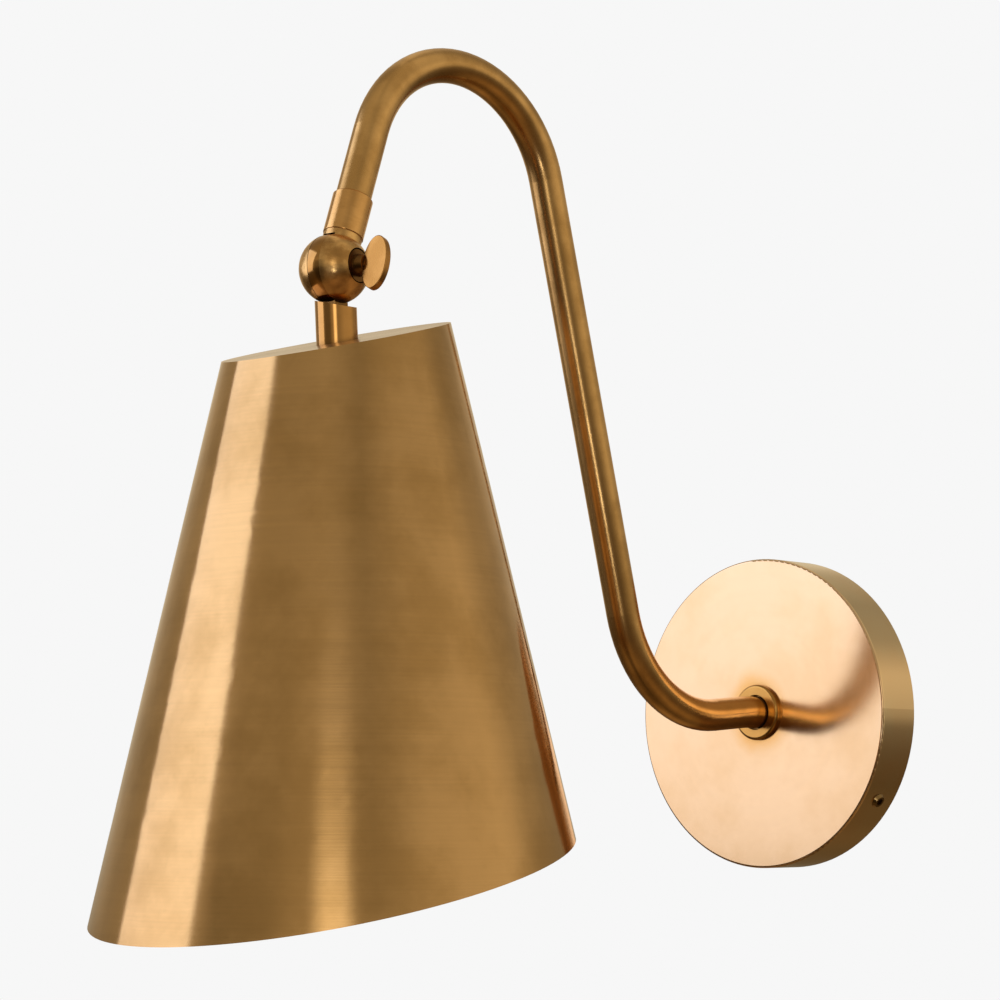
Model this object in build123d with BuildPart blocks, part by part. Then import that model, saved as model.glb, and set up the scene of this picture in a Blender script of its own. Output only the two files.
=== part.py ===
"""Wall sconce: a swan-neck arm on a round backplate carries a slanted cone shade.

Frame: the wall is the XZ plane, the room lies on the -Y side, +Z is up, +X is to the
right of someone who faces the wall. The origin is the middle of the backplate's wall face.
Millimetres.
"""
from build123d import *
from math import cos, radians, sin, tan
import os

os.makedirs("parts", exist_ok=True)

# ---- Backplate and what holds it to the wall ----
PLATE_D = 125.0
PLATE_DEPTH = 20.0
PLATE_FACE = 1.6
PLATE_WALL = 1.6
PLATE_EDGE_R = 0.9
BRACKET_D = 100.0
BRACKET_T = 1.8
BRACKET_WIRE_HOLE_D = 28.0
BOX_SCREW_PITCH = 79.4  # between a 69.9 mm and an 88.9 mm outlet box pattern
BOX_SLOT_LENGTH = 14.2
BOX_SLOT_WIDTH = 4.8
EAR_WIDTH = 14.0
EAR_DEPTH = 15.0
EAR_OUTER_R = 60.4
SIDE_SCREW_ANGLES = (-34.6, 145.4)  # from +X towards +Z, one at each end of the bracket
SIDE_SCREW_DEPTH = 10.0
SIDE_SCREW_D = 3.5
SIDE_HEAD_D = 6.0
SIDE_HEAD_T = 1.2
GROUND_SCREW_X = 24.0
GROUND_SCREW_D = 4.0
GROUND_HEAD_D = 7.0
GROUND_HEAD_T = 2.4

# ---- Arm: a bent tube, held to the backplate by a threaded nipple ----
TUBE_D = 12.7
TUBE_BORE = 10.0
ROOT_RUN = 6.0
SAG_RADIUS = 60.0
SAG_ANGLE = 5.0
LOW_RUN = 16.6
HEEL_RADIUS = 50.0
REAR_LEAN = 14.3  # of the long leg, from vertical, outwards going up
REAR_RUN = 168.1
CROOK_RADIUS = 46.0
FRONT_LEAN = 17.3  # of the short leg, from vertical, outwards going down
FRONT_RUN = 35.5
COLLAR_D = 22.4
COLLAR_BORE = 13.6
COLLAR_T = 2.3
NIPPLE_D = 10.0
NIPPLE_BORE = 6.5
ARM_NIPPLE_BACK = 11.0
ARM_NIPPLE_IN_TUBE = 5.5
ARM_WASHER_D = 20.0
ARM_WASHER_T = 1.2
TERMINAL_D = 14.0
TERMINAL_T = 0.8
TERMINAL_TAB_END = 14.5
TERMINAL_TAB_WIDTH = 5.0
NUT_ACROSS_FLATS = 14.0
NUT_T = 3.5

# ---- Ball knuckle: two cheeks on the arm, a tongue on the stem, clamped by a thumb screw ----
TUBE_TO_BALL = 20.0  # from the arm's end to the middle of the ball
BALL_R = 12.4
FERRULE_D = 14.4
FERRULE_FOOT = 12.7  # ferrule's lower end, from the middle of the ball
FERRULE_LENGTH = 15.6
BALL_SHOULDER_D = 13.8
SCREW_TURN = 12.0  # the clamp screw points +X, turned this much towards the wall
STEM_LEAN = 4.5  # of the stem, from vertical, towards the wall going down
SLOT_T = 5.2
SLOT_R = 12.65
TONGUE_T = 5.0
TONGUE_R = 12.3
PIVOT_HOLE_D = 4.12
SCREW_D = 4.0
RECESS_D = 12.4
RECESS_FLOOR = 8.8
LEAD_RING_INNER_R = 5.0
LEAD_RING_OUTER_R = 10.0
LEAD_RING_DEPTH = 2.0
STEM_D = 14.6
SEAT_DISTANCE = 11.9
SEAT_TILT = 14.0  # the stem's upper end is cut lower on the screw's side
SEAT_CLEARANCE = 0.35
LINK_DEPTH = 7.4  # of the neck between the stem and the tongue
SHOULDER_D = 11.4
SHOULDER_T = 1.5
SCREW_NECK_D = 8.6
PADDLE_OFFSET = 18.2
PADDLE_HALF_LENGTH = 5.1
PADDLE_HALF_HEIGHT = 9.9
PADDLE_T = 2.7
PADDLE_TWIST = -12.0  # the paddle's plane, about the screw

# ---- Shade: a slanting cone between two rings that both rise towards the wall ----
SHADE_TOP_Y = -245.9
SHADE_TOP_Z = 122.4
SHADE_SHIFT_Y = 0.7
SHADE_HEIGHT = 184.4
SHADE_TOP_R = 40.4
SHADE_RIM_R = 83.2
SHADE_TOP_SLANT = 16.6
SHADE_TOP_TURN = 10.0  # the top ring's low side is turned this much to the left
SHADE_RIM_SLANT = 13.4
SHADE_WALL = 1.05
TOP_DISC_T = 1.2

# ---- Lamp holder and bulb, in line with the stem, measured from the ball's middle ----
LEAD_SLOT_LENGTH = 5.6
LEAD_SLOT_WIDTH = 2.4
SPIGOT_TOP = 17.8
SPIGOT_END = 44.0
WEDGE_END = 30.8
WEDGE_D = 16.0
LOCK_NUT_T = 3.0
CAP_TOP = 35.0
CAP_SHOULDER = 45.0
CAP_END = 55.0
CAP_R = 17.6
HOLDER_WALL = 0.8
SHELL_END = 87.0
SHELL_R = 16.6
BODY_TOP = 50.0
BODY_FLOOR = 58.0
BODY_END = 84.0
BODY_R = 15.6
THREAD_R = 14.0
THREAD_WALL = 0.5
CONTACT_TOP = 60.6
BULB_BASE_END = 84.5
BULB_BASE_R = 13.1
BULB_NECK_END = 96.5
BULB_TIP = 169.0
BULB_R = 30.0
GLASS_T = 0.9
FILAMENT_CIRCLE_R = 7.0
FILAMENT_D = 1.8
FILAMENT_COUNT = 4

# ---- Leads ----
LEAD_D = 2.2
LEAD_OFFSET = 1.4
LEAD_BEND_R = 3.5
LEAD_PLANE_DEPTH = 8.5
CONNECTOR_MOUTH = 12.0
CONNECTOR_LENGTH = 19.0
CONNECTOR_MOUTH_R = 5.0
CONNECTOR_TIP_R = 3.4
CONNECTOR_BORE_DEPTH = 7.0
LEAD_PAST_TUBE = 2.0
HOLDER_LEAD_SEAT = 2.0
GROUND_LEAD_D = 1.8


def wall_plane(depth):
    """The plane parallel to the wall, this far out into the room; its normal points out."""
    return Plane.XZ.offset(depth)


def side_plane(angle, radius):
    """A plane square to a radius of the backplate; its local y points out into the room."""
    outward = Vector(cos(radians(angle)), 0, sin(radians(angle)))
    along_rim = Vector(-sin(radians(angle)), 0, cos(radians(angle)))
    return Plane(origin=outward * radius, x_dir=along_rim, z_dir=outward)


def draw_swan_neck(back_y, front_run):
    """The arm's centreline in its own YZ plane, from back_y to the end of the short leg."""
    root = Line((back_y, 0), (-PLATE_DEPTH - ROOT_RUN, 0))
    sag = JernArc(root @ 1, root % 1, SAG_RADIUS, SAG_ANGLE)
    low_run = Line(sag @ 1, sag @ 1 + (sag % 1) * LOW_RUN)
    heel = JernArc(low_run @ 1, low_run % 1, HEEL_RADIUS, REAR_LEAN - 90 - SAG_ANGLE)
    rear_leg = Line(heel @ 1, heel @ 1 + (heel % 1) * REAR_RUN)
    crook = JernArc(rear_leg @ 1, rear_leg % 1, CROOK_RADIUS, 180 - REAR_LEAN - FRONT_LEAN)
    return Line(crook @ 1, crook @ 1 + (crook % 1) * front_run)


# ---- Wall side ----
with BuildPart() as backplate:
    with BuildSketch(wall_plane(0)):
        Circle(PLATE_D / 2)
    extrude(amount=PLATE_DEPTH)
    fillet(backplate.faces().sort_by(Axis.Y)[0].edges(), PLATE_EDGE_R)
    with BuildSketch(wall_plane(0)):
        Circle(PLATE_D / 2 - PLATE_WALL)
    extrude(amount=PLATE_DEPTH - PLATE_FACE, mode=Mode.SUBTRACT)
    with BuildSketch(wall_plane(0)):
        Circle(NIPPLE_D / 2)
    extrude(amount=PLATE_DEPTH, mode=Mode.SUBTRACT)
    for angle in SIDE_SCREW_ANGLES:
        with BuildSketch(side_plane(angle, PLATE_D / 2 - 2 * PLATE_WALL)):
            with Locations((0, SIDE_SCREW_DEPTH)):
                Circle(SIDE_SCREW_D / 2)
        extrude(amount=3 * PLATE_WALL, mode=Mode.SUBTRACT)
backplate.part.label = "backplate"
export_step(backplate.part, "parts/backplate.step")

with BuildPart() as mounting_bracket:
    with BuildSketch(wall_plane(0)):
        Circle(BRACKET_D / 2)
        Rectangle(2 * EAR_OUTER_R, EAR_WIDTH, rotation=SIDE_SCREW_ANGLES[0])
        Circle(BRACKET_WIRE_HOLE_D / 2, mode=Mode.SUBTRACT)
        with Locations((-BOX_SCREW_PITCH / 2, 0), (BOX_SCREW_PITCH / 2, 0)):
            SlotOverall(BOX_SLOT_LENGTH, BOX_SLOT_WIDTH, mode=Mode.SUBTRACT)
        with Locations((GROUND_SCREW_X, 0)):
            Circle(GROUND_SCREW_D / 2, mode=Mode.SUBTRACT)
    extrude(amount=BRACKET_T)
    for angle in SIDE_SCREW_ANGLES:
        with BuildSketch(side_plane(angle, EAR_OUTER_R - BRACKET_T)):
            with Locations((0, EAR_DEPTH / 2)):
                Rectangle(EAR_WIDTH, EAR_DEPTH)
            with Locations((0, SIDE_SCREW_DEPTH)):
                Circle(SIDE_SCREW_D / 2, mode=Mode.SUBTRACT)
        extrude(amount=BRACKET_T)
mounting_bracket.part.label = "mounting_bracket"
export_step(mounting_bracket.part, "parts/mounting_bracket.step")

with BuildPart() as side_screws:
    for angle in SIDE_SCREW_ANGLES:
        with BuildSketch(side_plane(angle, EAR_OUTER_R - 2 * BRACKET_T)):
            with Locations((0, SIDE_SCREW_DEPTH)):
                Circle(SIDE_SCREW_D / 2)
        extrude(amount=PLATE_D / 2 - EAR_OUTER_R + 2 * BRACKET_T)
        with BuildSketch(side_plane(angle, PLATE_D / 2)):
            with Locations((0, SIDE_SCREW_DEPTH)):
                Circle(SIDE_HEAD_D / 2)
        extrude(amount=SIDE_HEAD_T, taper=30)
        with BuildSketch(side_plane(angle, PLATE_D / 2 + SIDE_HEAD_T * 0.1)):
            with Locations((0, SIDE_SCREW_DEPTH)):
                RegularPolygon(radius=SIDE_HEAD_D * 0.27, side_count=6)
        extrude(amount=SIDE_HEAD_T, mode=Mode.SUBTRACT)
side_screws.part.label = "side_screws"
export_step(side_screws.part, "parts/side_screws.step")

with BuildPart() as ground_screw:
    with BuildSketch(wall_plane(0)):
        with Locations((GROUND_SCREW_X, 0)):
            Circle(GROUND_SCREW_D / 2)
    extrude(amount=BRACKET_T)
    with BuildSketch(wall_plane(BRACKET_T)):
        with Locations((GROUND_SCREW_X, 0)):
            Circle(GROUND_HEAD_D / 2)
    extrude(amount=GROUND_HEAD_T / 3)
    with BuildSketch(wall_plane(BRACKET_T + GROUND_HEAD_T / 3)):
        with Locations((GROUND_SCREW_X, 0)):
            RegularPolygon(radius=GROUND_HEAD_D * 0.4, side_count=6)
    extrude(amount=GROUND_HEAD_T * 2 / 3)
ground_screw.part.label = "ground_screw"
export_step(ground_screw.part, "parts/ground_screw.step")

# ---- Arm ----
with BuildPart() as arm_collar:
    with BuildSketch(wall_plane(PLATE_DEPTH)):
        Circle(COLLAR_D / 2)
        Circle(COLLAR_BORE / 2, mode=Mode.SUBTRACT)
    extrude(amount=COLLAR_T)
    front_edges = arm_collar.faces().sort_by(Axis.Y)[0].edges().sort_by(SortBy.RADIUS)
    fillet(front_edges[-1], 1.1)
    chamfer(front_edges[0], 0.3)
arm_collar.part.label = "arm_collar"
export_step(arm_collar.part, "parts/arm_collar.step")

with BuildLine(Plane.YZ) as arm_axis:
    short_leg = draw_swan_neck(-PLATE_DEPTH, FRONT_RUN)
with BuildPart() as arm_tube:
    with BuildSketch(wall_plane(PLATE_DEPTH)):
        Circle(TUBE_D / 2)
        Circle(TUBE_BORE / 2, mode=Mode.SUBTRACT)
    sweep(path=arm_axis.wires()[0])
arm_tube.part.label = "arm_tube"
export_step(arm_tube.part, "parts/arm_tube.step")

with BuildPart() as arm_nipple:
    with BuildSketch(wall_plane(ARM_NIPPLE_BACK)):
        Circle(NIPPLE_D / 2)
        Circle(NIPPLE_BORE / 2, mode=Mode.SUBTRACT)
    extrude(amount=PLATE_DEPTH + ARM_NIPPLE_IN_TUBE - ARM_NIPPLE_BACK)
arm_nipple.part.label = "arm_nipple"
export_step(arm_nipple.part, "parts/arm_nipple.step")

washer_back = PLATE_DEPTH - PLATE_FACE - ARM_WASHER_T
with BuildPart() as arm_washer:
    with BuildSketch(wall_plane(washer_back)):
        Circle(ARM_WASHER_D / 2)
        Circle(NIPPLE_D / 2, mode=Mode.SUBTRACT)
    extrude(amount=ARM_WASHER_T)
arm_washer.part.label = "arm_washer"
export_step(arm_washer.part, "parts/arm_washer.step")

terminal_back = washer_back - TERMINAL_T
with BuildPart() as ground_terminal:
    with BuildSketch(wall_plane(terminal_back)):
        Circle(TERMINAL_D / 2)
        with Locations((TERMINAL_TAB_END / 2, 0)):
            Rectangle(TERMINAL_TAB_END, TERMINAL_TAB_WIDTH)
        Circle(NIPPLE_D / 2, mode=Mode.SUBTRACT)
    extrude(amount=TERMINAL_T)
ground_terminal.part.label = "ground_terminal"
export_step(ground_terminal.part, "parts/ground_terminal.step")

with BuildPart() as arm_lock_nut:
    with BuildSketch(wall_plane(terminal_back - NUT_T)):
        RegularPolygon(radius=NUT_ACROSS_FLATS / 2, side_count=6, major_radius=False)
        Circle(NIPPLE_D / 2, mode=Mode.SUBTRACT)
    extrude(amount=NUT_T)
arm_lock_nut.part.label = "arm_lock_nut"
export_step(arm_lock_nut.part, "parts/arm_lock_nut.step")

# ---- Directions of the knuckle ----
arm_end = short_leg @ 1
neck_down = short_leg % 1
ball_centre = arm_end + neck_down * TUBE_TO_BALL
screw_dir = Vector(cos(radians(SCREW_TURN)), sin(radians(SCREW_TURN)), 0)
swing_dir = Vector(-sin(radians(SCREW_TURN)), cos(radians(SCREW_TURN)), 0)
stem_dir = swing_dir * sin(radians(STEM_LEAN)) - Vector(0, 0, cos(radians(STEM_LEAN)))
neck_plane = Plane(origin=ball_centre, x_dir=(1, 0, 0), z_dir=-neck_down)
pivot_plane = Plane(origin=ball_centre, x_dir=swing_dir, z_dir=screw_dir)
stem_plane = Plane(origin=ball_centre, x_dir=screw_dir, z_dir=stem_dir)
stem_section = Plane(origin=ball_centre, x_dir=screw_dir, z_dir=screw_dir.cross(stem_dir))
stem_axis = Axis(ball_centre, stem_dir)
neck_axis = Axis(ball_centre, -neck_down)
rim_normal = Vector(0, -sin(radians(SHADE_RIM_SLANT)), cos(radians(SHADE_RIM_SLANT)))
top_normal = Vector(0, -sin(radians(SHADE_TOP_SLANT)), cos(radians(SHADE_TOP_SLANT)))
top_normal = top_normal.rotate(Axis.Z, SHADE_TOP_TURN)
top_plane = Plane(origin=(0, SHADE_TOP_Y, SHADE_TOP_Z), x_dir=(1, 0, 0), z_dir=top_normal)
rim_centre = (0, SHADE_TOP_Y + SHADE_SHIFT_Y, SHADE_TOP_Z - SHADE_HEIGHT)
rim_plane = Plane(origin=rim_centre, x_dir=(1, 0, 0), z_dir=rim_normal)

with BuildPart() as arm_ferrule:
    with BuildSketch(neck_plane.offset(FERRULE_FOOT)):
        Circle(FERRULE_D / 2)
    extrude(amount=FERRULE_LENGTH)
    along_neck = arm_ferrule.faces().filter_by(GeomType.PLANE).sort_by(neck_axis)
    fillet(along_neck[0].edges(), 0.4)
    chamfer(along_neck[-1].edges(), 0.5)
    with BuildSketch(neck_plane.offset(FERRULE_FOOT)):
        Circle(TUBE_BORE / 2)
    extrude(amount=FERRULE_LENGTH, mode=Mode.SUBTRACT)
    with BuildSketch(neck_plane.offset(TUBE_TO_BALL)):
        Circle(TUBE_D / 2)
    extrude(amount=FERRULE_LENGTH, mode=Mode.SUBTRACT)
arm_ferrule.part.label = "arm_ferrule"
export_step(arm_ferrule.part, "parts/arm_ferrule.step")

# The lead's way in: down the neck, then past the tongue's edge into a ring in one cheek.
lead_hole_top = ball_centre - neck_down * (TUBE_TO_BALL - 1)
lead_hole_foot = ball_centre - neck_down * LEAD_RING_OUTER_R * 0.75 - screw_dir * 4.4
with BuildPart() as swivel_ball:
    with Locations(ball_centre):
        Sphere(BALL_R)
    with BuildSketch(neck_plane):
        Circle(BALL_SHOULDER_D / 2)
    extrude(amount=FERRULE_FOOT)
    with BuildSketch(neck_plane):
        Circle(TUBE_BORE / 2)
    extrude(amount=TUBE_TO_BALL)
    with BuildSketch(pivot_plane):
        Circle(SLOT_R)
    extrude(amount=SLOT_T / 2, both=True, mode=Mode.SUBTRACT)
    with BuildSketch(pivot_plane.offset(-SLOT_T / 2)):
        Circle(LEAD_RING_OUTER_R)
        Circle(LEAD_RING_INNER_R, mode=Mode.SUBTRACT)
    extrude(amount=-LEAD_RING_DEPTH, mode=Mode.SUBTRACT)
    with BuildSketch(pivot_plane.offset(RECESS_FLOOR)):
        Circle(RECESS_D / 2)
    extrude(amount=BALL_R, mode=Mode.SUBTRACT)
    with BuildSketch(pivot_plane.offset(-BALL_R + 1.4)):
        Circle(PIVOT_HOLE_D / 2)
    extrude(amount=2 * BALL_R, mode=Mode.SUBTRACT)
    with BuildSketch(Plane(origin=lead_hole_top, z_dir=lead_hole_foot - lead_hole_top)):
        Circle(LEAD_D)
    extrude(amount=(lead_hole_foot - lead_hole_top).length, mode=Mode.SUBTRACT)
    with BuildSketch(neck_plane.offset(TUBE_TO_BALL - 3)):
        Circle(NIPPLE_BORE / 2)
    extrude(amount=3, mode=Mode.SUBTRACT)
swivel_ball.part.label = "swivel_ball"
export_step(swivel_ball.part, "parts/swivel_ball.step")

# The tongue is the middle slice of the ball, a little smaller than the cheeks.
with BuildPart() as tongue:
    with Locations(ball_centre):
        Sphere(TONGUE_R)
    with BuildSketch(pivot_plane):
        Rectangle(3 * BALL_R, 3 * BALL_R)
    extrude(amount=TONGUE_T / 2, both=True, mode=Mode.INTERSECT)

seat_normal = (
    -stem_dir * cos(radians(SEAT_TILT)) + screw_dir * sin(radians(SEAT_TILT))
).normalized()
seat_plane = Plane(origin=ball_centre - seat_normal * SEAT_DISTANCE, z_dir=seat_normal)
with BuildPart() as swivel_stem:
    with BuildSketch(stem_plane.offset(BALL_R * 0.7)):
        Circle(STEM_D / 2)
    extrude(amount=2 * BALL_R)
    split(bisect_by=seat_plane, keep=Keep.BOTTOM)
    with Locations(ball_centre):
        Sphere(BALL_R + SEAT_CLEARANCE, mode=Mode.SUBTRACT)
    with BuildSketch(stem_plane.offset(BALL_R * 0.8)):
        Rectangle(TONGUE_T, LINK_DEPTH)
    extrude(amount=BALL_R * 0.5)
    add(tongue.part)
    with BuildSketch(pivot_plane.offset(-TONGUE_T / 2)):
        Circle(LEAD_RING_OUTER_R)
        Circle(LEAD_RING_INNER_R, mode=Mode.SUBTRACT)
    extrude(amount=TONGUE_T * 0.6, mode=Mode.SUBTRACT)
    with BuildSketch(pivot_plane):
        Circle(PIVOT_HOLE_D / 2)
    extrude(amount=TONGUE_T, both=True, mode=Mode.SUBTRACT)
    with BuildSketch(stem_plane.offset(LEAD_RING_OUTER_R * 0.8)):
        SlotOverall(LEAD_SLOT_LENGTH, LEAD_SLOT_WIDTH, rotation=90)
    extrude(amount=3 * BALL_R, mode=Mode.SUBTRACT)
    with BuildSketch(stem_plane.offset(SPIGOT_TOP)):
        Circle(NIPPLE_D / 2)
    extrude(amount=2 * BALL_R, mode=Mode.SUBTRACT)
    split(bisect_by=top_plane, keep=Keep.TOP)
swivel_stem.part.label = "swivel_stem"
export_step(swivel_stem.part, "parts/swivel_stem.step")

paddle_normal = swing_dir * cos(radians(PADDLE_TWIST)) + Vector(0, 0, sin(radians(PADDLE_TWIST)))
paddle_plane = Plane(
    origin=ball_centre + screw_dir * PADDLE_OFFSET, x_dir=screw_dir, z_dir=paddle_normal
)
with BuildPart() as thumb_screw:
    with BuildSketch(paddle_plane):
        Ellipse(PADDLE_HALF_LENGTH, PADDLE_HALF_HEIGHT)
    extrude(amount=PADDLE_T / 2, both=True)
    fillet(thumb_screw.edges(), 0.3)
    with BuildSketch(pivot_plane.offset(-BALL_R + 2.0)):
        Circle(SCREW_D / 2)
    extrude(amount=BALL_R - 2.0 + PADDLE_OFFSET - PADDLE_HALF_LENGTH + 1.5)
    with BuildSketch(pivot_plane.offset(RECESS_FLOOR + 0.3)):
        Circle(SHOULDER_D / 2)
    extrude(amount=SHOULDER_T)
    with BuildSketch(pivot_plane.offset(RECESS_FLOOR + 0.3)):
        Circle(SCREW_NECK_D / 2)
    extrude(amount=PADDLE_OFFSET - PADDLE_HALF_LENGTH + 0.9 - RECESS_FLOOR - 0.3, taper=12)
thumb_screw.part.label = "thumb_screw"
export_step(thumb_screw.part, "parts/thumb_screw.step")

# ---- Shade ----
with BuildPart() as shade_cone:
    with BuildSketch(top_plane):
        Circle(SHADE_TOP_R)
    with BuildSketch(rim_plane):
        Circle(SHADE_RIM_R)
    loft(ruled=True)
    with BuildSketch(top_plane):
        Circle(SHADE_TOP_R - SHADE_WALL)
    with BuildSketch(rim_plane):
        Circle(SHADE_RIM_R - SHADE_WALL)
    loft(ruled=True, mode=Mode.SUBTRACT)
shade_cone.part.label = "shade_cone"
export_step(shade_cone.part, "parts/shade_cone.step")

with BuildPart() as shade_top:
    with BuildSketch(top_plane):
        Circle(SHADE_TOP_R - SHADE_WALL)
    extrude(amount=-TOP_DISC_T)
    with BuildSketch(stem_plane.offset(SPIGOT_TOP)):
        Circle(NIPPLE_D / 2)
    extrude(amount=2 * BALL_R, mode=Mode.SUBTRACT)
shade_top.part.label = "shade_top"
export_step(shade_top.part, "parts/shade_top.step")

with BuildPart() as stem_nipple:
    with BuildSketch(stem_plane.offset(SPIGOT_TOP)):
        Circle(NIPPLE_D / 2)
        Circle(NIPPLE_BORE / 2, mode=Mode.SUBTRACT)
    extrude(amount=SPIGOT_END - SPIGOT_TOP)
stem_nipple.part.label = "stem_nipple"
export_step(stem_nipple.part, "parts/stem_nipple.step")

with BuildPart() as wedge_washer:
    with BuildSketch(stem_plane.offset(SPIGOT_TOP)):
        Circle(WEDGE_D / 2)
        Circle(NIPPLE_D / 2, mode=Mode.SUBTRACT)
    extrude(amount=WEDGE_END - SPIGOT_TOP)
    split(bisect_by=top_plane.offset(-TOP_DISC_T), keep=Keep.BOTTOM)
wedge_washer.part.label = "wedge_washer"
export_step(wedge_washer.part, "parts/wedge_washer.step")

with BuildPart() as shade_lock_nut:
    with BuildSketch(stem_plane.offset(WEDGE_END)):
        RegularPolygon(radius=NUT_ACROSS_FLATS / 2, side_count=6, major_radius=False)
        Circle(NIPPLE_D / 2, mode=Mode.SUBTRACT)
    extrude(amount=LOCK_NUT_T)
shade_lock_nut.part.label = "shade_lock_nut"
export_step(shade_lock_nut.part, "parts/shade_lock_nut.step")

# ---- Lamp holder: profiles are (radius, distance from the ball's middle) ----
with BuildPart() as holder_cap:
    with BuildSketch(stem_section):
        with BuildLine():
            Polyline((NIPPLE_D / 2, CAP_TOP), (NIPPLE_D * 0.75, CAP_TOP), (NIPPLE_D * 0.75, CAP_TOP + 3))
            RadiusArc((NIPPLE_D * 0.75, CAP_TOP + 3), (CAP_R, CAP_SHOULDER), -12)
            Polyline((CAP_R, CAP_SHOULDER), (CAP_R, CAP_END), (CAP_R - HOLDER_WALL, CAP_END))
            Line((CAP_R - HOLDER_WALL, CAP_END), (CAP_R - HOLDER_WALL, CAP_SHOULDER))
            RadiusArc(
                (CAP_R - HOLDER_WALL, CAP_SHOULDER),
                (NIPPLE_D * 0.75 - HOLDER_WALL, CAP_TOP + 3 + HOLDER_WALL),
                12 - HOLDER_WALL,
            )
            Polyline(
                (NIPPLE_D * 0.75 - HOLDER_WALL, CAP_TOP + 3 + HOLDER_WALL),
                (NIPPLE_D / 2, CAP_TOP + 3 + HOLDER_WALL),
                (NIPPLE_D / 2, CAP_TOP),
            )
        make_face()
    revolve(axis=stem_axis)
holder_cap.part.label = "holder_cap"
export_step(holder_cap.part, "parts/holder_cap.step")

with BuildPart() as holder_shell:
    with BuildSketch(stem_plane.offset(BODY_TOP)):
        Circle(SHELL_R)
        Circle(SHELL_R - HOLDER_WALL, mode=Mode.SUBTRACT)
    extrude(amount=SHELL_END - BODY_TOP)
holder_shell.part.label = "holder_shell"
export_step(holder_shell.part, "parts/holder_shell.step")

with BuildPart() as holder_body:
    with BuildSketch(stem_plane.offset(BODY_TOP)):
        Circle(BODY_R)
    extrude(amount=BODY_END - BODY_TOP)
    with BuildSketch(stem_plane.offset(BODY_FLOOR)):
        Circle(THREAD_R)
    extrude(amount=BODY_END, mode=Mode.SUBTRACT)
    with BuildSketch(stem_plane.offset(BODY_TOP)):
        with Locations((0, LEAD_OFFSET), (0, -LEAD_OFFSET)):
            Circle(LEAD_D / 2)
    extrude(amount=HOLDER_LEAD_SEAT, mode=Mode.SUBTRACT)
holder_body.part.label = "holder_body"
export_step(holder_body.part, "parts/holder_body.step")

with BuildPart() as holder_thread:
    with BuildSketch(stem_plane.offset(BODY_FLOOR)):
        Circle(THREAD_R)
        Circle(THREAD_R - THREAD_WALL, mode=Mode.SUBTRACT)
    extrude(amount=BODY_END - BODY_FLOOR)
holder_thread.part.label = "holder_thread"
export_step(holder_thread.part, "parts/holder_thread.step")

with BuildPart() as holder_contact:
    with BuildSketch(stem_plane.offset(BODY_FLOOR)):
        Rectangle(16, 6)
    extrude(amount=0.6)
    with BuildSketch(stem_plane.offset(BODY_FLOOR)):
        Circle(3)
    extrude(amount=CONTACT_TOP - BODY_FLOOR)
holder_contact.part.label = "holder_contact"
export_step(holder_contact.part, "parts/holder_contact.step")

# ---- Bulb ----
with BuildPart() as bulb_contact:
    with BuildSketch(stem_plane.offset(CONTACT_TOP)):
        Circle(4.5)
    extrude(amount=1.4)
bulb_contact.part.label = "bulb_contact"
export_step(bulb_contact.part, "parts/bulb_contact.step")

with BuildPart() as bulb_insulator:
    with BuildSketch(stem_plane.offset(CONTACT_TOP + 1.4)):
        Circle(4.5)
    extrude(amount=4, taper=-50)
bulb_insulator.part.label = "bulb_insulator"
export_step(bulb_insulator.part, "parts/bulb_insulator.step")

base_top = CONTACT_TOP + 5.4
with BuildPart() as bulb_base:
    with BuildSketch(stem_plane.offset(base_top)):
        Circle(BULB_BASE_R)
        Circle(BULB_BASE_R - THREAD_WALL, mode=Mode.SUBTRACT)
    extrude(amount=BULB_BASE_END - base_top)
bulb_base.part.label = "bulb_base"
export_step(bulb_base.part, "parts/bulb_base.step")

bulb_middle = BULB_TIP - BULB_R
with BuildPart() as bulb_glass:
    with BuildSketch(stem_section):
        with BuildLine():
            neck = Line((BULB_BASE_R, BULB_BASE_END), (BULB_BASE_R + 1, BULB_NECK_END))
            Spline(neck @ 1, (BULB_R, bulb_middle), tangents=(neck % 1, (0, 1)))
            CenterArc((0, bulb_middle), BULB_R, 0, 90)
            Line((0, BULB_TIP), (0, BULB_TIP - GLASS_T))
            CenterArc((0, bulb_middle), BULB_R - GLASS_T, 0, 90)
            inside_r = BULB_BASE_R - GLASS_T
            inside = Line((inside_r, BULB_BASE_END), (inside_r + 1, BULB_NECK_END))
            Spline(inside @ 1, (BULB_R - GLASS_T, bulb_middle), tangents=(inside % 1, (0, 1)))
            Line((BULB_BASE_R - GLASS_T, BULB_BASE_END), (BULB_BASE_R, BULB_BASE_END))
        make_face()
    revolve(axis=stem_axis)
bulb_glass.part.label = "bulb_glass"
export_step(bulb_glass.part, "parts/bulb_glass.step")

stalk_foot = BULB_BASE_END - 4
stalk_tip = BULB_BASE_END + 34
with BuildPart() as bulb_stalk:
    with BuildSketch(stem_plane.offset(stalk_foot)):
        Circle(BULB_BASE_R - 2)
    extrude(amount=2)
    with BuildSketch(stem_plane.offset(stalk_foot + 2)):
        Circle(4.5)
    extrude(amount=stalk_tip - stalk_foot - 4, taper=4)
bulb_stalk.part.label = "bulb_stalk"
export_step(bulb_stalk.part, "parts/bulb_stalk.step")

with BuildPart() as bulb_filaments:
    with BuildSketch(stem_plane.offset(stalk_foot + 2)):
        with PolarLocations(FILAMENT_CIRCLE_R, FILAMENT_COUNT):
            Circle(FILAMENT_D / 2)
    extrude(amount=stalk_tip - stalk_foot)
bulb_filaments.part.label = "bulb_filaments"
export_step(bulb_filaments.part, "parts/bulb_filaments.step")

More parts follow.
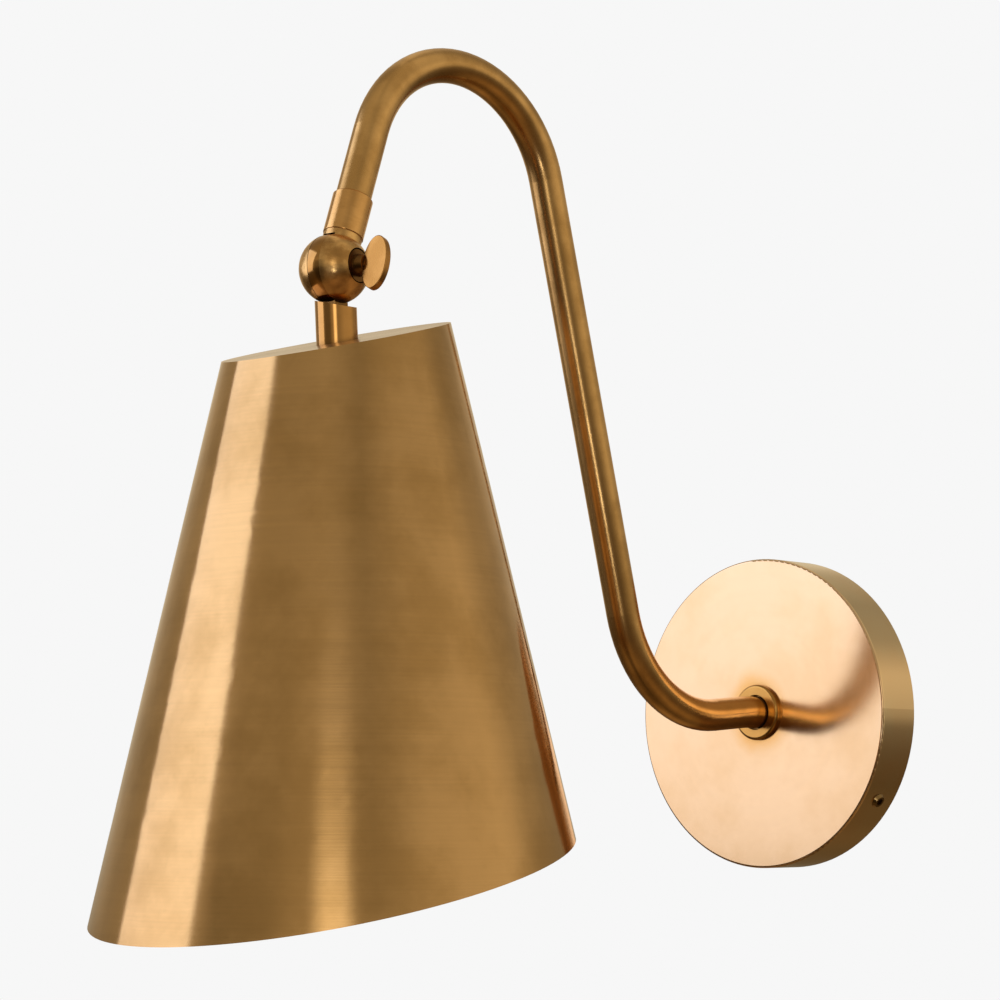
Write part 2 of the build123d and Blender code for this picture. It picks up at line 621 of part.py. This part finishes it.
# ---- Leads and their connectors ----
with BuildPart() as arm_leads:
    for side in (1, -1):
        with BuildLine(Plane.YZ.offset(side * LEAD_OFFSET)) as lead_route:
            tail = Line(
                (-LEAD_PLANE_DEPTH, side * (CONNECTOR_MOUTH + CONNECTOR_BORE_DEPTH - 1)),
                (-LEAD_PLANE_DEPTH, side * LEAD_BEND_R),
            )
            turn = JernArc(tail @ 1, tail % 1, LEAD_BEND_R, -90 * side)
            draw_swan_neck(-LEAD_PLANE_DEPTH - LEAD_BEND_R, FRONT_RUN + LEAD_PAST_TUBE)
        with BuildSketch(Plane(origin=tail @ 0, z_dir=tail % 0)):
            Circle(LEAD_D / 2)
        sweep(path=lead_route.wires()[0])
arm_leads.part.label = "arm_leads"
export_step(arm_leads.part, "parts/arm_leads.step")

with BuildPart() as wire_connectors:
    for side in (1, -1):
        mouth = Plane(
            origin=(side * LEAD_OFFSET, -LEAD_PLANE_DEPTH, side * CONNECTOR_MOUTH),
            z_dir=(0, 0, side),
        )
        with BuildSketch(mouth):
            Circle(CONNECTOR_MOUTH_R)
        with BuildSketch(mouth.offset(CONNECTOR_LENGTH)):
            Circle(CONNECTOR_TIP_R)
        loft()
        with BuildSketch(mouth):
            Circle(LEAD_D / 2)
        extrude(amount=CONNECTOR_BORE_DEPTH, mode=Mode.SUBTRACT)
wire_connectors.part.label = "wire_connectors"
export_step(wire_connectors.part, "parts/wire_connectors.step")

ground_lead_x = TERMINAL_TAB_END - GROUND_LEAD_D
ground_lead_y = -BRACKET_T - GROUND_LEAD_D / 2 - 0.2
with BuildPart() as ground_lead:
    with BuildLine(Plane.XY) as ground_route:
        FilletPolyline(
            (ground_lead_x, -terminal_back),
            (ground_lead_x, ground_lead_y),
            (GROUND_SCREW_X - GROUND_HEAD_D / 2, ground_lead_y),
            radius=4,
        )
    with BuildSketch(Plane.XZ.offset(terminal_back)):
        with Locations((ground_lead_x, 0)):
            Circle(GROUND_LEAD_D / 2)
    sweep(path=ground_route.wires()[0])
ground_lead.part.label = "ground_lead"
export_step(ground_lead.part, "parts/ground_lead.step")

with BuildPart() as holder_leads:
    with BuildSketch(stem_plane.offset(LEAD_RING_OUTER_R * 0.8)):
        with Locations((0, LEAD_OFFSET), (0, -LEAD_OFFSET)):
            Circle(LEAD_D / 2)
    extrude(amount=BODY_TOP + HOLDER_LEAD_SEAT - LEAD_RING_OUTER_R * 0.8)
holder_leads.part.label = "holder_leads"
export_step(holder_leads.part, "parts/holder_leads.step")
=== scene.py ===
"""Looks of the brass wall sconce: materials, studio light and camera."""
from math import cos, pi, radians, sin

import bpy
from mathutils import Matrix, Vector

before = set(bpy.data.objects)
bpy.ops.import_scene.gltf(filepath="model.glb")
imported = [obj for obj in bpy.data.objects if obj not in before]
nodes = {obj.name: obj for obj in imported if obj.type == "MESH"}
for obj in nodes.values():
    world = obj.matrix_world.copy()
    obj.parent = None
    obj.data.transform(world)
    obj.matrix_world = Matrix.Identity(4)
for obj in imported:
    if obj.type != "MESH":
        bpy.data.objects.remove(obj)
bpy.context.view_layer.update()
scene = bpy.context.scene

# Places in metres and directions, in the frame's rest pose.
BALL = Vector((0, -0.247093, 0.148004))
SHADE_AXIS_TOP = Vector((0, -0.2459, 0.1224))
WALL_MIDDLE = Vector((0, 0, 0))
ARM_MIDDLE = Vector((0, -0.15, 0.1))
LAMP_MIDDLE = Vector((0, -0.2, 0.05))
NECK_LEAN = radians(17.3)
NECK_DIR = Vector((0, sin(NECK_LEAN), cos(NECK_LEAN)))
STEM_DIR = Vector((-0.016313, 0.076744, -0.996917))
UP = (0, 0, 1)
OUT = (0, -1, 0)
ACROSS = (1, 0, 0)

# Heights of the relief in the bump textures, in metres.
GROOVE_DEPTH = 0.0004
SWELL_DEPTH = 0.002
GRAIN_DEPTH = 0.0003

# Most values of a noise texture lie in this span.
NOISE_SPAN = (0.3, 0.7)


# ---- Node helpers ----
class Shader:
    """Adds nodes to a material's, light's or world's tree and wires values, colours or sockets into them."""

    def __init__(self, tree):
        self.tree = tree
        tree.nodes.clear()

    def add(self, kind, inputs=None, **settings):
        node = self.tree.nodes.new(kind)
        for key, value in settings.items():
            setattr(node, key, value)
        for key, value in (inputs or {}).items():
            self.feed(node.inputs[key], value)
        return node

    def feed(self, socket, value):
        if isinstance(value, bpy.types.Node):
            value = value.outputs[0]
        if isinstance(value, bpy.types.NodeSocket):
            self.tree.links.new(value, socket)
        else:
            socket.default_value = value

    def math(self, operation, a, b=0.0, clamp=False):
        return self.add("ShaderNodeMath", {0: a, 1: b}, operation=operation, use_clamp=clamp)

    def vector(self, operation, a, b=(0, 0, 0)):
        return self.add("ShaderNodeVectorMath", {0: a, 1: b}, operation=operation)

    def remap(self, value, low_in, high_in, low_out, high_out, smooth=False):
        kind = "SMOOTHSTEP" if smooth else "LINEAR"
        wanted = {"Value": value, "From Min": low_in, "From Max": high_in,
                  "To Min": low_out, "To Max": high_out}
        return self.add("ShaderNodeMapRange", wanted, interpolation_type=kind, clamp=True)

    def noise(self, vector, scale, detail=3.0, roughness=0.5):
        wanted = {"Vector": vector, "Scale": scale, "Detail": detail, "Roughness": roughness}
        return self.add("ShaderNodeTexNoise", wanted)

    def ramp(self, value, low_in, high_in, stops):
        """Level at each place between low_in and high_in; stops are (place, level) pairs, both ends first."""
        node = self.add("ShaderNodeValToRGB", {0: self.remap(value, low_in, high_in, 0.0, 1.0)})
        elements = node.color_ramp.elements
        for index, (place, level) in enumerate(stops):
            place = (place - low_in) / (high_in - low_in)
            element = elements[index] if index < 2 else elements.new(place)
            element.position = place
            element.color = (level, level, level, 1.0)
        return node

    def mix(self, factor, a, b, blend_type="MIX"):
        node = self.add("ShaderNodeMix", data_type="RGBA", blend_type=blend_type)
        self.feed(node.inputs[0], factor)
        self.feed(node.inputs[6], a)
        self.feed(node.inputs[7], b)
        return node.outputs[2]

    def grey(self, level):
        return self.add("ShaderNodeCombineColor", {0: level, 1: level, 2: level}).outputs[0]

    def scaled(self, colour, level):
        """The colour times a level."""
        return self.mix(1.0, colour, self.grey(level), blend_type="MULTIPLY")


def rgb(r, g, b):
    return (r, g, b, 1.0)


def new_material(name):
    mat = bpy.data.materials.new(name)
    mat.use_nodes = True
    return mat, Shader(mat.node_tree)


def brass(name, clean, aged, rough, origin, axis, streak=0.12, around=3.0, along=900.0, patina=0.5,
          anisotropy=0.0, bump=0.03, patina_scale=30.0, waves=0.0, flat=False, crevice=0.003, painted_shade=0.85,
          painted_shade_colour=(0.10, 0.045, 0.012, 1.0), painted_ring=None, painted_side_light=1.0):
    """Aged brass with brushing that runs round an axis (origin, axis in the row frame).

    clean and aged are the two colours of the patina; streak is the strength of the brushing.
    A flat piece is brushed in rings, so its streaks vary with the distance from the axis.
    waves is the strength of the slow unevenness that bends the reflections a little.
    Within about a crevice's width of another surface the brass is darkened with painted shade, which also
    makes it a little rougher.
    An optional ring of colour, given as (inner radius, outer radius, colour), is painted unevenly round the
    axis: a painted reflection of a neighbouring part when light, painted shade beside one when dark.
    The faces that look away from the axis can be given a brighter colour, painted light that stands in for
    their brighter reflections.
    """
    mat, s = new_material(name)
    place = s.add("ShaderNodeTexCoord").outputs["Object"]
    spin = Vector(axis).normalized()
    turn = spin.rotation_difference(Vector((0, 0, 1)))
    centred = s.vector("SUBTRACT", place, tuple(origin))
    local = s.add("ShaderNodeVectorRotate", {"Vector": centred, "Rotation": turn.to_euler()},
                  rotation_type="EULER_XYZ")
    part = s.add("ShaderNodeSeparateXYZ", {0: local})
    angle = s.math("ARCTAN2", part.outputs[1], part.outputs[0])
    if flat:
        squared = s.math("ADD", s.math("MULTIPLY", part.outputs[0], part.outputs[0]),
                         s.math("MULTIPLY", part.outputs[1], part.outputs[1]))
        across = s.math("SQRT", squared)
    else:
        across = part.outputs[2]
    ring = s.add("ShaderNodeCombineXYZ", {
        0: s.math("MULTIPLY", s.math("COSINE", angle), around),
        1: s.math("MULTIPLY", s.math("SINE", angle), around),
        2: s.math("MULTIPLY", across, along)})
    fine = s.noise(ring, 1.0, 4.0, 0.6)
    coarse_ring = s.vector("MULTIPLY", ring, (0.8, 0.8, 0.18))
    coarse = s.noise(coarse_ring, 1.0, 3.0, 0.5)
    cloud = s.noise(centred, patina_scale, 5.0, 0.55)
    speck = s.noise(centred, patina_scale * 14, 3.0, 0.6)
    age = s.remap(cloud, 0.36, 0.66, 0.0, patina, smooth=True)
    age = s.math("ADD", age, s.remap(speck, 0.55, 0.75, 0.0, patina * 0.15), clamp=True)
    colour = s.mix(age, clean, aged)
    lines = s.math("ADD", s.math("MULTIPLY", fine, 0.6), s.math("MULTIPLY", coarse, 0.4))
    tone = s.remap(lines, *NOISE_SPAN, 1.0 - streak, 1.0 + streak)
    colour = s.scaled(colour, tone)
    # Painted light as an uneven ring of colour round the axis: a painted reflection when light, painted shade
    # when dark.
    if painted_ring:
        unevenness = (painted_ring[1] - painted_ring[0]) / 2
        ragged = s.math("ADD", across, s.remap(cloud, *NOISE_SPAN, -unevenness, unevenness))
        colour = s.mix(s.remap(ragged, painted_ring[0], painted_ring[1], 0.8, 0.0, smooth=True), colour, painted_ring[2])
    # Painted light: the faces that look away from the axis get a brighter colour.
    if painted_side_light != 1.0:
        outward = s.vector("NORMALIZE", s.add("ShaderNodeTexCoord").outputs["Normal"])
        facing = s.vector("DOT_PRODUCT", outward, tuple(spin)).outputs["Value"]
        gain = s.remap(s.math("ABSOLUTE", facing), 0.2, 0.7, painted_side_light, 1.0, smooth=True)
        colour = s.scaled(colour, gain)
    # Painted shade: a darker colour within a crevice's width of another surface, where shade falls.
    openness = s.add("ShaderNodeAmbientOcclusion", {"Distance": crevice}, samples=6).outputs["AO"]
    painted_shade_mask = s.remap(openness, 0.25, 0.85, painted_shade, 0.0, smooth=True)
    colour = s.mix(painted_shade_mask, colour, painted_shade_colour)
    roughness = s.math("ADD", s.remap(age, 0.0, 1.0, rough * 0.95, rough * 1.15),
                       s.remap(lines, *NOISE_SPAN, -rough * 0.08, rough * 0.08))
    roughness = s.math("ADD", roughness, s.math("MULTIPLY", painted_shade_mask, 0.25))
    height = s.math("ADD", s.math("MULTIPLY", fine, 0.7), s.math("MULTIPLY", speck, 0.3))
    relief = s.add("ShaderNodeBump", {"Height": height, "Strength": bump, "Distance": GROOVE_DEPTH})
    if waves:
        swell = s.noise(centred, patina_scale * 0.8, 2.0, 0.4)
        relief = s.add("ShaderNodeBump", {
            "Height": swell, "Strength": waves, "Distance": SWELL_DEPTH, "Normal": relief})
    skin = s.add("ShaderNodeBsdfPrincipled", {
        "Base Color": colour, "Metallic": 1.0, "Roughness": roughness, "Normal": relief})
    if anisotropy:
        world_axis = s.add("ShaderNodeVectorTransform", {0: tuple(spin)},
                           vector_type="VECTOR", convert_from="OBJECT", convert_to="WORLD")
        normal = s.add("ShaderNodeNewGeometry").outputs["Normal"]
        tangent = s.vector("NORMALIZE", s.vector("CROSS_PRODUCT", world_axis, normal))
        skin.inputs["Anisotropic"].default_value = anisotropy
        skin.inputs["Anisotropic Rotation"].default_value = 0.25
        s.feed(skin.inputs["Tangent"], tangent)
    s.add("ShaderNodeOutputMaterial", {"Surface": skin})
    return mat


def plain(name, colour, rough=0.4, metallic=0.0, grain=200.0, variation=0.08, bump=0.02, **extra):
    """A material with fine grain in its tone, its gloss and its relief."""
    mat, s = new_material(name)
    place = s.add("ShaderNodeTexCoord").outputs["Object"]
    grains = s.noise(place, grain, 4.0, 0.6)
    tone = s.remap(grains, *NOISE_SPAN, 1.0 - variation, 1.0 + variation)
    relief = s.add("ShaderNodeBump", {"Height": grains, "Strength": bump, "Distance": GRAIN_DEPTH})
    inputs = {"Base Color": s.scaled(colour, tone), "Metallic": metallic, "Normal": relief,
              "Roughness": s.remap(grains, *NOISE_SPAN, rough * 0.85, rough * 1.15)}
    inputs.update(extra)
    skin = s.add("ShaderNodeBsdfPrincipled", inputs)
    s.add("ShaderNodeOutputMaterial", {"Surface": skin})
    return mat


# ---- Materials ----
CLEAN = rgb(0.62, 0.34, 0.10)
AGED = rgb(0.48, 0.25, 0.06)
# Each brass material below is darkened with painted shade in its crevices; some set their own strength for
# it.
materials = {
    "shade_cone": brass(
        "shade_brass", rgb(0.67, 0.415, 0.18), rgb(0.505, 0.30, 0.113), 0.14, SHADE_AXIS_TOP, UP,
        streak=0.05, around=1.2, along=1500.0, patina=0.75, anisotropy=0.85, bump=0.03,
        patina_scale=32.0, waves=0.03, painted_shade=0.3),
    "shade_top": brass(
        "disc_brass", rgb(0.56, 0.385, 0.24), rgb(0.47, 0.31, 0.18), 0.20, SHADE_AXIS_TOP, UP,
        streak=0.04, patina=0.6, bump=0.01, flat=True),
    "backplate": brass(
        "plate_brass", rgb(0.84, 0.60, 0.375), rgb(0.77, 0.51, 0.27), 0.15, WALL_MIDDLE, OUT,
        streak=0.025, around=1.5, along=300.0, patina=0.6, bump=0.008, patina_scale=26.0, flat=True,
        # painted light: a brighter colour on the plate's side wall
        # painted reflection of the collar: an orange ring round it on the plate
        painted_shade=0.5, painted_ring=(0.0115, 0.0195, rgb(0.72, 0.38, 0.10)), painted_side_light=1.32),
    "arm_collar": brass(
        "collar_brass", CLEAN, AGED, 0.20, WALL_MIDDLE, OUT, streak=0.06, flat=True, painted_shade=0.6),
    "arm_tube": brass(
        "tube_brass", rgb(0.79, 0.48, 0.185), rgb(0.58, 0.335, 0.115), 0.24, ARM_MIDDLE, ACROSS,
        streak=0.05, around=2.0, along=500.0, patina=0.9, bump=0.012, patina_scale=70.0, waves=0.05),
    "arm_ferrule": brass(
        "ferrule_brass", rgb(0.82, 0.47, 0.175), rgb(0.66, 0.35, 0.11), 0.20, BALL, NECK_DIR,
        streak=0.09, around=1.5, along=1600.0, patina=0.6, anisotropy=0.6, patina_scale=90.0,
        waves=0.1),
    "swivel_ball": brass(
        "ball_brass", rgb(0.90, 0.55, 0.215), rgb(0.50, 0.27, 0.088), 0.24, BALL, NECK_DIR, streak=0.06,
        around=2.0, along=1200.0, patina=1.0, bump=0.05, patina_scale=130.0, waves=0.4),
    "swivel_stem": brass(
        "stem_brass", rgb(0.60, 0.32, 0.105), rgb(0.475, 0.24, 0.07), 0.11, BALL, STEM_DIR, streak=0.03,
        around=2.0, along=1400.0, patina=0.6, anisotropy=0.4, bump=0.015, patina_scale=80.0),
    "thumb_screw": brass(
        "paddle_brass", rgb(0.61, 0.31, 0.088), rgb(0.52, 0.25, 0.062), 0.25, BALL, UP, streak=0.04,
        around=1.5, along=1600.0, patina=0.6, bump=0.02, patina_scale=90.0, painted_shade=0.9, flat=True,
        # painted shade: a dark ring where the screw meets the ball's recess
        painted_ring=(0.0140, 0.0155, rgb(0.13, 0.06, 0.018))),
    "side_screws": brass(
        "screw_brass", rgb(0.34, 0.22, 0.09), rgb(0.27, 0.16, 0.06), 0.2, WALL_MIDDLE, UP, streak=0.05),
    "holder_cap": brass(
        "cap_brass", rgb(0.72, 0.50, 0.26), rgb(0.60, 0.38, 0.17), 0.25, BALL, STEM_DIR, streak=0.05),
}
materials["holder_shell"] = materials["holder_cap"]
GLASS = {"Transmission Weight": 1.0, "IOR": 1.46}
zinc = plain("zinc_steel", rgb(0.55, 0.55, 0.53), 0.35, 1.0, grain=900.0, bump=0.08)
for name in ("mounting_bracket", "arm_nipple", "arm_washer", "arm_lock_nut",
             "stem_nipple", "wedge_washer", "shade_lock_nut"):
    materials[name] = zinc
materials["ground_screw"] = plain("ground_green", rgb(0.05, 0.28, 0.08), 0.3, 0.6, grain=1200.0)
materials["ground_terminal"] = plain("tinned_copper", rgb(0.66, 0.62, 0.56), 0.35, 1.0, grain=1500.0)
materials["bulb_contact"] = materials["ground_terminal"]
materials["ground_lead"] = plain("bare_copper", rgb(0.60, 0.28, 0.14), 0.3, 1.0, grain=1500.0)
materials["holder_contact"] = plain("contact_brass", rgb(0.74, 0.55, 0.24), 0.3, 1.0, grain=1500.0)
materials["holder_body"] = plain("phenolic", rgb(0.012, 0.012, 0.012), 0.35, grain=800.0, bump=0.05)
materials["holder_thread"] = plain("thread_aluminium", rgb(0.72, 0.72, 0.72), 0.28, 1.0, grain=1200.0)
materials["bulb_base"] = plain("nickel", rgb(0.72, 0.70, 0.66), 0.22, 1.0, grain=1200.0)
materials["bulb_insulator"] = plain("bulb_insulation", rgb(0.01, 0.01, 0.015), 0.15, grain=900.0)
materials["bulb_glass"] = plain("bulb_glass", rgb(0.97, 0.97, 0.96), 0.02,
                                grain=60.0, variation=0.02, bump=0.01, **GLASS)
materials["bulb_stalk"] = plain("stalk_glass", rgb(0.94, 0.95, 0.94), 0.05,
                                grain=80.0, variation=0.03, **GLASS)
materials["bulb_filaments"] = plain("filament", rgb(0.85, 0.55, 0.10), 0.6,
                                    grain=2500.0, variation=0.15, bump=0.2)
materials["arm_leads"] = plain("lead_sleeve", rgb(0.02, 0.02, 0.02), 0.5, grain=700.0, bump=0.1)
materials["holder_leads"] = materials["arm_leads"]
materials["wire_connectors"] = plain("connector_plastic", rgb(0.72, 0.22, 0.02), 0.45, grain=900.0, bump=0.1)

for name, obj in nodes.items():
    obj.data.materials.clear()
    obj.data.materials.append(materials[name])
    obj.data.polygons.foreach_set("use_smooth", [True] * len(obj.data.polygons))

# ---- Studio ----
CAMERA_AT = Vector((0.62925, -0.77938, -0.03703))
CAMERA_AZIMUTH = 45.755
CAMERA_PITCH = 7.207
LENS = 86.67
SENSOR_WIDTH = 36.0
FLOOR_SIDE = 1.6
FLOOR_FRONT = -1.9
FLOOR_BACK = 1.3
FLOOR_LEVEL = -0.62


def toward(azimuth, elevation):
    """Unit vector from the lamp; azimuth 0 is straight out of the wall, 90 along +X."""
    a, e = radians(azimuth), radians(elevation)
    return Vector((sin(a) * cos(e), -cos(a) * cos(e), sin(e)))


def area_light(name, azimuth, elevation, distance, width, height, power, colour=(1, 1, 1)):
    """A rectangular light that faces the lamp's middle and doesn't show to the camera."""
    data = bpy.data.lights.new(name, "AREA")
    data.shape = "RECTANGLE"
    data.size = width
    data.size_y = height
    data.energy = power
    data.color = colour
    light = bpy.data.objects.new(name, data)
    scene.collection.objects.link(light)
    light.location = LAMP_MIDDLE + toward(azimuth, elevation) * distance
    light.rotation_euler = (LAMP_MIDDLE - light.location).to_track_quat("-Z", "Y").to_euler()
    light.visible_camera = False
    return light


def light_shader(light):
    """Shader of a light, and the place on its surface, 0 to 1 along each side."""
    light.data.use_nodes = True
    shader = Shader(light.data.node_tree)
    surface = shader.add("ShaderNodeNewGeometry").outputs["Parametric"]
    return shader, shader.add("ShaderNodeSeparateXYZ", {0: surface})


softbox = area_light("softbox", -45.5, 18.6, 2.5, 1.97, 2.22, 15.0)
box, place = light_shader(softbox)
height = box.remap(place.outputs[1], 0.0, 0.5, 0.0, 1.0, smooth=True)
box.add("ShaderNodeOutputLight", {0: box.add("ShaderNodeEmission", {
    "Color": box.mix(height, rgb(1.0, 0.97, 1.04), rgb(1.0, 1.10, 1.42)),
    "Strength": box.remap(height, 0.0, 1.0, 0.86, 1.0)})})
strip = area_light("front_strip", 41.0, 8.0, 1.4, 0.60, 0.62, 1.9, (1.0, 0.96, 0.86))
soft, place = light_shader(strip)
edges = soft.math("MULTIPLY", soft.remap(place.outputs[0], 0.0, 0.4, 0.0, 1.0, smooth=True),
                  soft.remap(place.outputs[0], 0.6, 1.0, 1.0, 0.0, smooth=True))
edges = soft.math("MULTIPLY", edges, soft.remap(place.outputs[1], 0.0, 0.2, 0.0, 1.0, smooth=True))
edges = soft.math("MULTIPLY", edges, soft.remap(place.outputs[1], 0.6, 1.0, 1.0, 0.2, smooth=True))
soft.add("ShaderNodeOutputLight", {0: soft.add("ShaderNodeEmission", {"Strength": edges})})
area_light("front_core", 41.0, -12.0, 1.1, 0.17, 0.15, 0.30)

floor_data = bpy.data.meshes.new("floor")
floor_corners = [
    (-FLOOR_SIDE, FLOOR_FRONT, FLOOR_LEVEL), (FLOOR_SIDE, FLOOR_FRONT, FLOOR_LEVEL),
    (FLOOR_SIDE, FLOOR_BACK, FLOOR_LEVEL), (-FLOOR_SIDE, FLOOR_BACK, FLOOR_LEVEL)]
floor_data.from_pydata(floor_corners, [], [(0, 1, 2, 3)])
floor = bpy.data.objects.new("floor", floor_data)
scene.collection.objects.link(floor)
floor_mat, paper = new_material("floor_paper")
floor_grain = paper.noise(paper.add("ShaderNodeTexCoord").outputs["Object"], 40.0)
floor_tone = paper.remap(floor_grain, *NOISE_SPAN, 0.86, 0.88)
paper.add("ShaderNodeOutputMaterial", {"Surface": paper.add("ShaderNodeBsdfPrincipled", {
    "Base Color": paper.grey(floor_tone), "Roughness": 0.8})})
floor_data.materials.append(floor_mat)
floor.visible_glossy = False

# Light of the room by heading in degrees, 0 straight out of the wall and 90 along +X.
AROUND_LEVELS = [
    (-180, 0.21), (180, 0.21), (-155, 0.31), (-125, 0.44), (-104, 0.29), (-86, 0.21), (-60, 0.22),
    (-15, 0.28), (5, 0.29), (30, 0.31), (50, 0.27), (62, 0.25), (92, 0.36), (135, 0.38), (158, 0.24)]
# The same by the sine of the elevation.
UPRIGHT_LEVELS = [
    (-1, 0.34), (1, 1.45), (-0.8, 0.78), (-0.5, 0.33), (-0.3, 0.33), (-0.1, 0.46), (0.06, 1.45),
    (0.3, 1.85), (0.5, 1.25), (0.8, 1.4)]
LOW_TINT = rgb(1.0, 0.60, 0.24)
HIGH_TINT = rgb(1.0, 0.85, 0.59)
MATT_LIGHT = rgb(0.60, 0.60, 0.60)
BACKDROP = rgb(0.930, 0.930, 0.930)

world = bpy.data.worlds.new("studio")
scene.world = world
world.use_nodes = True
sky = Shader(world.node_tree)
direction = sky.add("ShaderNodeTexCoord").outputs["Generated"]
dirs = sky.add("ShaderNodeSeparateXYZ", {0: direction})
from_wall = sky.math("MULTIPLY", dirs.outputs[1], -1.0)
heading = sky.math("MULTIPLY", sky.math("ARCTAN2", dirs.outputs[0], from_wall), 180 / pi)
around = sky.ramp(heading, -180.0, 180.0, AROUND_LEVELS)
upright = sky.ramp(dirs.outputs[2], -1.0, 1.0, UPRIGHT_LEVELS)
# A dark gap between the softbox and the front strip, low down.
gap = sky.math("MULTIPLY", sky.remap(heading, -28.0, -12.0, 0.0, 1.0, smooth=True),
               sky.remap(heading, 10.0, 28.0, 1.0, 0.0, smooth=True))
gap = sky.math("MULTIPLY", gap, sky.remap(dirs.outputs[2], 0.25, 0.42, 0.6, 0.0, smooth=True))
level = sky.math("MULTIPLY", sky.math("MULTIPLY", around, upright), sky.math("SUBTRACT", 1.0, gap))
fade = sky.remap(dirs.outputs[2], -0.55, 0.10, 0.0, 1.0, smooth=True)
tint = sky.mix(fade, LOW_TINT, HIGH_TINT)
room = sky.scaled(tint, level)
path = sky.add("ShaderNodeLightPath")
mirrored = sky.mix(path.outputs["Is Glossy Ray"], MATT_LIGHT, room)
backdrop = sky.mix(path.outputs["Is Camera Ray"], mirrored, BACKDROP)
background = sky.add("ShaderNodeBackground", {"Color": backdrop, "Strength": 1.0})
sky.add("ShaderNodeOutputWorld", {"Surface": background})

camera_data = bpy.data.cameras.new("camera")
camera_data.lens = LENS
camera_data.sensor_width = SENSOR_WIDTH
camera = bpy.data.objects.new("camera", camera_data)
scene.collection.objects.link(camera)
right = Vector((cos(radians(CAMERA_AZIMUTH)), sin(radians(CAMERA_AZIMUTH)), 0))
ahead = -toward(CAMERA_AZIMUTH, -CAMERA_PITCH)
above = right.cross(ahead)
camera.matrix_world = Matrix.Translation(CAMERA_AT) @ Matrix((right, above, -ahead)).transposed().to_4x4()
camera_data.clip_start = 0.01
camera_data.clip_end = 50.0
scene.camera = camera

scene.view_settings.view_transform = "Standard"
